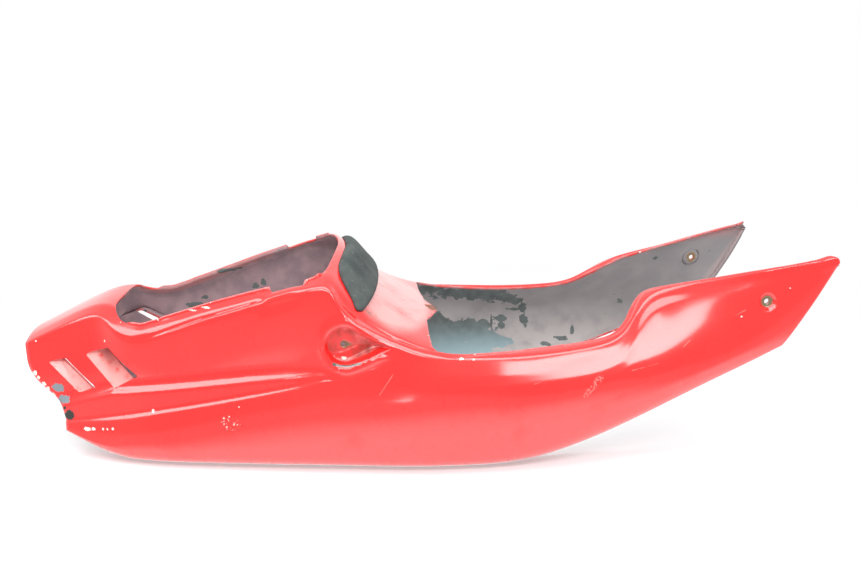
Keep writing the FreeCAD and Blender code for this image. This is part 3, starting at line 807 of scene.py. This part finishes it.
# Marks on the paint, in millimetres of the row frame: (centre, radii), or the two ends of a line.
WHITE_CHIPS = [
    ((-473.5, -59, 93), (3, 6, 3)), ((-469, -61.5, 88), (2, 5, 2)), ((-462, -65.5, 81), (3, 6, 2.5)),
    ((-457, -68, 75.5), (2.5, 6, 3)), ((-450, -71, 69), (2.5, 6, 2.5)),
    ((-472, -48, 129.6), (1.0, 4, 0.9)), ((-381.9, -79, 137.5), (1.0, 4, 1.3)),
    ((-404, -104, 37.8), (4.5, 6, 2.2)), ((-396, -107, 39), (2.6, 5, 1.6)),
    ((-383.6, -112, 40.7), (1.4, 5, 1.3)), ((-378, -114, 41.2), (1.1, 5, 1)),
    ((-371, -116.5, 42.4), (1.5, 5, 1.4)), ((-322, -122, 65.6), (1.6, 5, 2.2)),
    ((-219.9, -149, 78.7), (0.9, 4, 0.9)), ((-100.7, -152.5, 134.9), (3, 5, 1.6)),
    ((-276.7, -99.3, 178), (7, 5, 1.2)), ((-262, -102, 182), (9, 5, 1.0)),
    ((30, -164.4, 134), (3, 4, 1.2)), ((43.6, -165, 133), (2, 4, 1)), ((-97, -168, 179), (1.6, 4, 1.3)),
    ((425, -123.5, 196), (1.2, 4, 1.2)), ((366, -125, 164), (1.3, 4, 0.9))]
SPECKLED = ((-229.5, -150, 60.5), (12, 14, 10))
BARE_PATCHES = [((-444, -72, 78), (7.5, 9, 5)), ((-436, -79, 66), (8.5, 9, 4.6))]
DARK_CHIPS = [((-428.5, -87, 49), (6.5, 9, 6)), ((-434, -82, 57), (2, 6, 2))]
SCRATCHES = [
    ((-33, -167.6, 138.4), (-45, -171.8, 124)), ((-45, -171.8, 124), (-62, -175.8, 99)),
    ((302, -135.7, 139.7), (293, -139.7, 132.7)), ((371, -124, 171), (357, -125, 164)),
    ((111, -177.2, 107), (141, -170, 113)), ((-345, -110, 60), (-250, -132, 88)),
    ((-330, -112, 66), (-262, -131, 90)), ((228, -157, 112), (260, -150, 117))]
SCUFFS = [((189, -165, 108), (171, -172, 90))]
CRACKS = [
    ((-60, -12, 183), (-39, 7, 168)), ((-39, 7, 168), (-13, 2, 155.5)),
    ((-13, 2, 155.5), (18, -2, 149)), ((-62, 42, 184), (-46, 57, 170)),
    ((-112, -2, 236), (-97, -14, 232))]
SLOT_MARK = [((-112, -160, 130.5), (-97.4, -162, 128)), ((-97.4, -162, 128), (-82, -165, 132))]
FADED_SADDLE = ((-45, 0, 178), (62, 150, 62))
SADDLE_SMUDGE = ((-69, -124, 177), (13, 13, 9))
TORN = ((11, -5, 150), (10, 13, 14))

# Peeled places inside, where the bare dark moulding shows: (centre, radii), mirrored to both walls.
PEELED = [
    ((12, 172, 126), (34, 26, 9)), ((66, 174, 118), (46, 26, 10)), ((118, 172, 114), (32, 26, 11)),
    ((148, 170, 105), (16, 26, 7)), ((162, 170, 95), (7, 26, 8)), ((150, 172, 90), (12, 26, 2)),
    ((128, 176, 75), (10, 26, 5)), ((131, 174, 64), (5, 26, 5)), ((116, 177, 68), (1.6, 26, 10)),
    ((165, 169, 72), (8, 26, 8)), ((196, 152, 39), (8, 26, 3)), ((218, 152, 49), (9, 26, 3)),
    ((236, 150, 62), (2.5, 26, 6)), ((304, 133, 108), (6, 26, 5)), ((-231, 122, 148), (5, 26, 4)),
    ((-219, 125, 152), (4, 26, 5)), ((-224, 124, 142), (3, 26, 2.5)), ((-313, 105, 127), (14, 26, 4)),
    ((-300, 104, 137), (5, 26, 3)), ((-262, 104, 178), (16, 26, 3)), ((345, 117, 181), (4, 26, 3))]
PEELED_DEEP = [
    ((28, 180, 60), (34, 30, 22)), ((78, 178, 52), (40, 30, 20)), ((122, 172, 40), (26, 30, 11)),
    ((55, 172, 26), (64, 34, 20)), ((104, 177, 64), (12, 30, 9))]
RUST_RING = ((398.7, 119, 180), (8, 8, 8))
# Direction square to the sloping front edge of a prong, in the side view.
FRONT_SLANT = (1.0, 0.0, -0.605)
WHITE = (1, 1, 1, 1)


class Graph:
    """Short forms for building a node tree."""

    def __init__(self, owner):
        owner.use_nodes = True
        self.tree = owner.node_tree

    def feed(self, socket, value):
        if isinstance(value, bpy.types.NodeSocket):
            self.tree.links.new(value, socket)
        else:
            socket.default_value = value

    def node(self, kind, sockets, output=0, **settings):
        """One output of a new node with these settings, its inputs fed by other nodes or by constants."""
        node = self.tree.nodes.new("ShaderNode" + kind)
        for name, value in settings.items():
            setattr(node, name, value)
        for name, value in sockets.items():
            self.feed(node.inputs[name], value)
        return node.outputs[output]

    def math(self, operation, *values):
        """One operation over all the values in turn."""
        result = values[0]
        for value in values[1:]:
            result = self.node("Math", {0: result, 1: value}, operation=operation)
        return result

    def times(self, *values):
        return self.math("MULTIPLY", *values)

    def vector(self, operation, first, second=(0, 0, 0), output="Vector"):
        return self.node("VectorMath", {0: first, 1: second}, output, operation=operation)

    def part(self, vector, axis):
        return self.node("SeparateXYZ", {0: vector}, axis)

    def ramp(self, value, low, high, least=0.0, most=1.0):
        """The least below low, the most above high; the other way round where low is the larger."""
        if low > high:
            low, high, least, most = high, low, most, least
        sockets = {"Value": value, "From Min": low, "From Max": high, "To Min": least, "To Max": most}
        return self.node("MapRange", sockets, "Result", interpolation_type="SMOOTHSTEP")

    def white_rays(self, seen=1.0, mirrored=1.0):
        """How white the background is where it is seen, mirrored, or seen through a clear thing."""
        rays = []
        for kind, share in (("Camera", seen), ("Glossy", mirrored), ("Transmission", 1.0)):
            rays.append(self.times(self.node("LightPath", {}, "Is %s Ray" % kind), share))
        return self.math("MAXIMUM", *rays)


class Surface(Graph):
    """Node tree of a material, with the colour that its coats have built up so far."""

    def __init__(self, name, colour=None):
        self.material = bpy.data.materials.new(name)
        super().__init__(self.material)
        self.shader = self.tree.nodes["Principled BSDF"]
        self.place = self.node("TexCoord", {}, "Object")
        self.colour = colour

    def set(self, **values):
        """Feed the shader's own sockets; an underscore stands for a space."""
        for name, value in values.items():
            self.feed(self.shader.inputs[name.replace("_", " ")], value)

    def mix(self, share, *colours):
        first, second = [c if isinstance(c, bpy.types.NodeSocket) else (*c, 1) for c in colours]
        return self.node("Mix", {"Factor": share, 6: first, 7: second}, 2, data_type="RGBA")

    def coat(self, share, colour):
        self.colour = self.mix(share, self.colour, colour)

    def finish(self, bump, **values):
        """Material with the colour of its coats, more values, and a bump (height, strength, millimetres)."""
        height, strength, distance = bump
        sockets = {"Strength": strength, "Distance": distance * MM, "Height": height}
        self.set(Base_Color=self.colour, Normal=self.node("Bump", sockets), **values)
        return self.material

    def noise(self, size, detail=4.0, rough=0.5):
        """Noise with features about this many millimetres wide."""
        sockets = {"Vector": self.place, "Scale": 1 / (size * MM), "Detail": detail, "Roughness": rough}
        return self.node("TexNoise", sockets, "Fac")

    def patchy(self, size, low, high, detail=4.0):
        return self.ramp(self.noise(size, detail), low, high)

    def attribute(self, name):
        return self.node("Attribute", {}, "Fac", attribute_name=name)

    def forward(self):
        """Distance ahead, square to the front edge of a prong."""
        return self.vector("DOT_PRODUCT", self.place, FRONT_SLANT, "Value")

    def spot(self, centre, radii, place=None):
        """Distance from a centre in shares of the radii: one on the outline of the spot."""
        gap = self.vector("SUBTRACT", place or self.place, [c * MM for c in centre])
        shares = self.vector("MULTIPLY", gap, [1 / (r * MM) for r in radii])
        return self.vector("LENGTH", shares, output="Value")

    def line(self, start, stop):
        """Distance in millimetres from a straight mark between two points."""
        a, b = Vector(start) * MM, Vector(stop) * MM
        gap = self.vector("SUBTRACT", self.place, a)
        along = self.vector("DOT_PRODUCT", gap, (b - a) / (b - a).length_squared, "Value")
        share = self.node("Clamp", {"Value": along})
        foot = self.node("VectorMath", {0: b - a, "Scale": share}, operation="SCALE")
        away = self.vector("LENGTH", self.vector("SUBTRACT", gap, foot), output="Value")
        return self.math("DIVIDE", away, MM)

    def broken(self, away, noise, amount):
        """Distance that noise makes uneven by this amount."""
        return self.math("ADD", away, self.times(self.math("SUBTRACT", noise, 0.5), amount))

    def ragged(self, spots, size, amount, place=None, soft=0.04):
        """Mask of spots whose outlines are broken up by noise of the given size."""
        away = self.math("MINIMUM", *[self.spot(*one, place=place) for one in spots])
        return self.ramp(self.broken(away, self.noise(size, 8.0, 0.64), amount), 1 + soft, 1 - soft)

    def strokes(self, lines, width, size, amount):
        """Mask of thin marks of a width in millimetres, broken up by noise."""
        away = self.math("MINIMUM", *[self.line(*one) for one in lines])
        return self.ramp(self.broken(away, self.noise(size, 5.0), amount), width, width * 0.5)


def paint_material():
    """Old red gloss paint: faded on the saddle, chipped at the tail, scratched and cracked."""
    g = Surface("red_paint", (0.82, 0.010, 0.009))
    g.coat(g.patchy(90.0, 0.35, 0.7, 3.0), (0.78, 0.013, 0.011))
    # Painted reflection: paint facing downwards is painted paler pink in patches, standing in for the bright
    # floor mirrored in it.
    facing = g.part(g.node("NewGeometry", {}, "Normal"), "Z")
    painted_floor_reflection = g.times(g.ramp(facing, 0.06, -0.16), g.patchy(60.0, 0.0, 0.45, 3.0))
    g.coat(painted_floor_reflection, (0.82, 0.092, 0.09))
    faded = g.times(g.ramp(g.spot(*FADED_SADDLE), 1.05, 0.8), g.patchy(45.0, 0.1, 0.6, 5.0))
    g.coat(faded, (0.84, 0.28, 0.265))
    smudge = g.times(g.ramp(g.spot(*SADDLE_SMUDGE), 1.0, 0.2), g.patchy(5.0, 0.35, 0.65))
    g.coat(smudge, (0.25, 0.09, 0.08))
    # Louvre floors: pale pink, partly dust and partly a painted highlight on their up-facing floors.
    dust_and_painted_highlight = g.times(g.attribute("dust_and_painted_highlight"), g.patchy(9.0, 0.15, 0.5, 6.0))
    g.coat(dust_and_painted_highlight, (0.86, 0.34, 0.32))
    # Recesses: darker red with depth, partly dirt and partly painted shade; olive-brown grime at the holes.
    grime_and_shade = g.attribute("grime_and_shade")
    dirt_and_shade = g.times(g.ramp(grime_and_shade, 0.2, 1.0), g.patchy(16.0, 0.35, 0.75, 6.0))
    g.coat(dirt_and_shade, (0.30, 0.045, 0.032))
    g.coat(g.ramp(grime_and_shade, 1.05, 1.5), (0.16, 0.13, 0.06))
    scuffs = g.times(g.strokes(SCUFFS, 4.5, 4.0, 3.0), g.patchy(2.5, 0.45, 0.6, 6.0))
    g.coat(scuffs, (0.84, 0.20, 0.18))
    g.coat(g.strokes(SCRATCHES, 0.7, 8.0, 0.9), (0.85, 0.13, 0.11))
    cracks = g.strokes(CRACKS, 0.8, 6.0, 0.8)
    g.coat(cracks, (0.13, 0.05, 0.045))
    g.coat(g.strokes(SLOT_MARK, 2.6, 4.0, 1.2), (0.12, 0.10, 0.09))
    torn = g.math("MAXIMUM", cracks, g.ragged([TORN], 7.0, 2.4))
    g.coat(torn, (0.22, 0.10, 0.07))
    primer = g.ragged(BARE_PATCHES, 4.0, 1.6)
    g.coat(primer, (0.21, 0.24, 0.265))
    edge = g.times(g.ramp(g.attribute("rim"), 0.80, 0.97), g.patchy(6.0, 0.69, 0.72, 5.0))
    speckled = g.times(g.ramp(g.spot(*SPECKLED), 1.0, 0.8), g.patchy(3.0, 0.60, 0.64, 3.0))
    chips = g.math("MAXIMUM", g.ragged(WHITE_CHIPS, 1.6, 2.0), speckled, edge)
    g.coat(chips, (0.76, 0.72, 0.65))
    holes = g.ragged(DARK_CHIPS, 4.0, 1.6)
    g.coat(holes, (0.05, 0.05, 0.045))
    worn = g.math("MAXIMUM", chips, holes, primer, dirt_and_shade, torn)
    rough = g.math("ADD", g.times(worn, 0.45), g.times(g.noise(30.0), 0.16), 0.2)
    dull = g.math("MAXIMUM", worn, g.times(dust_and_painted_highlight, 0.8))
    g.set(Roughness=rough, Coat_Weight=g.math("SUBTRACT", 1.0, g.times(dull, 0.9)))
    height = g.math("SUBTRACT", g.times(g.noise(14.0, 2.0), 0.25), worn)
    return g.finish((height, 0.35, 0.3), Specular_IOR_Level=0.1, Coat_Roughness=0.12, Coat_IOR=1.65)


def inside_material():
    """Thin grey primer on the inside, peeled to the dark moulding, with red overspray near free edges."""
    g = Surface("inside_coat", (0.255, 0.242, 0.246))
    along, across, up = [g.part(g.place, axis) for axis in "XYZ"]
    place = g.node("CombineXYZ", {"X": along, "Y": g.math("ABSOLUTE", across, 0.0), "Z": up})
    g.coat(g.patchy(38.0, 0.3, 0.7, 6.0), (0.315, 0.29, 0.29))
    # Painted light: the inner walls are painted paler towards the bottom, where they face up to the top
    # light.
    painted_light_low_down = g.times(g.ramp(up, 0.13, 0.04), g.patchy(24.0, 0.2, 0.6, 6.0))
    g.coat(painted_light_low_down, (0.43, 0.40, 0.39))
    tail = g.mix(g.patchy(20.0, 0.35, 0.65, 6.0), (0.30, 0.215, 0.235), (0.41, 0.28, 0.295))
    g.coat(g.ramp(along, -0.02, -0.12), tail)
    overspray = g.times(g.ramp(g.attribute("rim"), 0.15, 0.7), g.patchy(25.0, 0.2, 0.6))
    g.coat(overspray, (0.47, 0.20, 0.20))
    peeled = g.ragged(PEELED, 13.0, 3.2, place)
    deep = g.ragged(PEELED_DEEP, 15.0, 2.2, place)
    bare = g.mix(g.patchy(14.0, 0.3, 0.7, 5.0), (0.095, 0.112, 0.108), (0.14, 0.165, 0.16))
    # Deep peeled patches turn pale blue-grey towards the bottom: their own bluish tone, lightened there as
    # painted light.
    g.coat(deep, g.mix(g.ramp(up, 0.075, 0.015), bare, (0.29, 0.41, 0.44)))
    g.coat(peeled, bare)
    g.coat(g.patchy(5.0, 0.735, 0.76, 3.0), (0.06, 0.065, 0.06))
    rust = g.times(g.ramp(g.spot(*RUST_RING, place), 1.15, 0.75), g.patchy(4.0, 0.3, 0.55))
    g.coat(rust, (0.24, 0.145, 0.05))
    # Painted highlight: a paler strip on the inner face of the return along each prong's front edge.
    g.coat(g.ramp(g.forward(), 0.331, 0.340), (0.38, 0.315, 0.315))
    height = g.math("SUBTRACT", g.times(g.noise(3.0, 3.0), 0.5), g.math("MAXIMUM", peeled, deep))
    return g.finish((height, 0.4, 0.3), Roughness=0.72, Specular_IOR_Level=0.4)


def edge_material():
    """Cut edge of the moulding: red paint with pale and dark chips, grey along the front of the prongs and
    darkened there as painted shade.
    """
    g = Surface("edge_paint", (0.66, 0.05, 0.045))
    g.coat(g.patchy(30.0, 0.35, 0.65), (0.40, 0.19, 0.19))
    g.coat(g.patchy(7.0, 0.69, 0.71, 5.0), (0.72, 0.67, 0.62))
    g.coat(g.patchy(9.0, 0.34, 0.31, 5.0), (0.10, 0.09, 0.085))
    # Painted shade: the free edge of the return along the front of each prong is painted dark grey.
    g.coat(g.ramp(g.forward(), 0.330, 0.334), (0.24, 0.195, 0.20))
    return g.finish((g.noise(8.0), 0.15, 0.3), Roughness=0.5, Specular_IOR_Level=0.3)


def foam_material():
    """Dark closed-cell foam with a fine grain, rubbed paler here and there."""
    g = Surface("pad_foam", (0.040, 0.050, 0.048))
    g.coat(g.patchy(35.0, 0.3, 0.7, 5.0), (0.075, 0.088, 0.084))
    g.coat(g.patchy(4.0, 0.62, 0.72, 5.0), (0.13, 0.145, 0.14))
    return g.finish((g.noise(1.6, 3.0), 0.5, 0.35), Roughness=0.85, Specular_IOR_Level=0.3)


def floor_material():
    """White table that keeps the shadow near the object and fades to plain white further off."""
    g = Surface("floor_white")
    g.set(Base_Color=(0.93, 0.94, 0.955, 1), Roughness=0.9, Specular_IOR_Level=0.1)
    away = g.vector("LENGTH", g.node("NewGeometry", {}, "Position"), output="Value")
    rays = g.white_rays(seen=g.ramp(away, 0.45, 1.0, least=0.4))
    glow = g.node("Emission", {"Color": WHITE})
    surface = g.node("MixShader", {0: rays, 1: g.shader.outputs["BSDF"], 2: glow})
    g.feed(g.tree.nodes["Material Output"].inputs["Surface"], surface)
    return g.material


def build_floor():
    reach = 12.0
    mesh = bpy.data.meshes.new("floor")
    mesh.from_pydata([(-reach, -reach, 0), (reach, -reach, 0), (reach, reach, 0), (-reach, reach, 0)], [],
                     [(0, 1, 2, 3)])
    mesh.materials.append(floor_material())
    floor = place_object("floor", mesh)
    floor.location.z = -0.0005


def build_world():
    """White tent that gives more light from the far side than from the camera's side."""
    world = bpy.data.worlds.new("tent")
    bpy.context.scene.world = world
    g = Graph(world)
    room = g.ramp(g.part(g.node("TexCoord", {}, "Generated"), "Y"), -0.5, 0.3, 0.25, 0.65)
    tent = g.math("ADD", g.times(room, 0.5), 0.675)
    back = g.tree.nodes["Background"]
    g.feed(back.inputs["Color"], WHITE)
    g.feed(back.inputs["Strength"], g.math("MAXIMUM", room, g.white_rays(mirrored=tent)))


# Soft studio panels: name, place, the point each faces, its size in metres and its power in watts.
PANELS = [("top_panel", (-0.65, -0.22, 1.25), (-0.65, -0.22, 0), (2.7, 0.55), 26),
          ("front_left", (-0.43, -0.93, 1.22), (-0.43, -0.15, 0.12), (1.13, 0.3), 9.6),
          ("front_right", (0.885, -0.93, 1.29), (0.885, -0.15, 0.12), (0.83, 0.44), 10.0),
          ("low_lamp", (-0.22, -1.15, 0.04), (-0.05, -0.18, 0.1), (0.06, 0.06), 0.1)]


def aim(thing, direction):
    thing.rotation_euler = Vector(direction).to_track_quat("-Z", "Y").to_euler()


def build_lights():
    for name, place, target, size, power in PANELS:
        data = bpy.data.lights.new(name, "AREA")
        data.shape = "RECTANGLE"
        data.size, data.size_y = size
        data.energy = power
        lamp = place_object(name, data)
        lamp.location = place
        aim(lamp, Vector(target) - Vector(place))


def build_camera():
    """Viewpoint of the photograph: 860 by 573 pixels with a focal length of 830 pixels."""
    width_px, focal_px, sensor = 860, 830, 36.0
    data = bpy.data.cameras.new("camera")
    data.sensor_fit = "HORIZONTAL"
    data.sensor_width = sensor
    data.lens = focal_px / width_px * sensor
    camera = place_object("camera", data)
    camera.location = (-0.07403, -1.03096, 0.45053)
    aim(camera, (0.0762, 0.9632, -0.2578))
    bpy.context.scene.camera = camera


shell, skin_base = build_shell()
for make in (paint_material, inside_material, edge_material):
    shell.data.materials.append(make())
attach(shell, "root")
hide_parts("tail_shell")

pad = build_pad(skin_base)
pad.data.materials.append(foam_material())
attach(pad, "root")
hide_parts("backrest_pad")

build_floor()
build_world()
build_lights()
build_camera()
bpy.context.scene.view_settings.view_transform = "Standard"
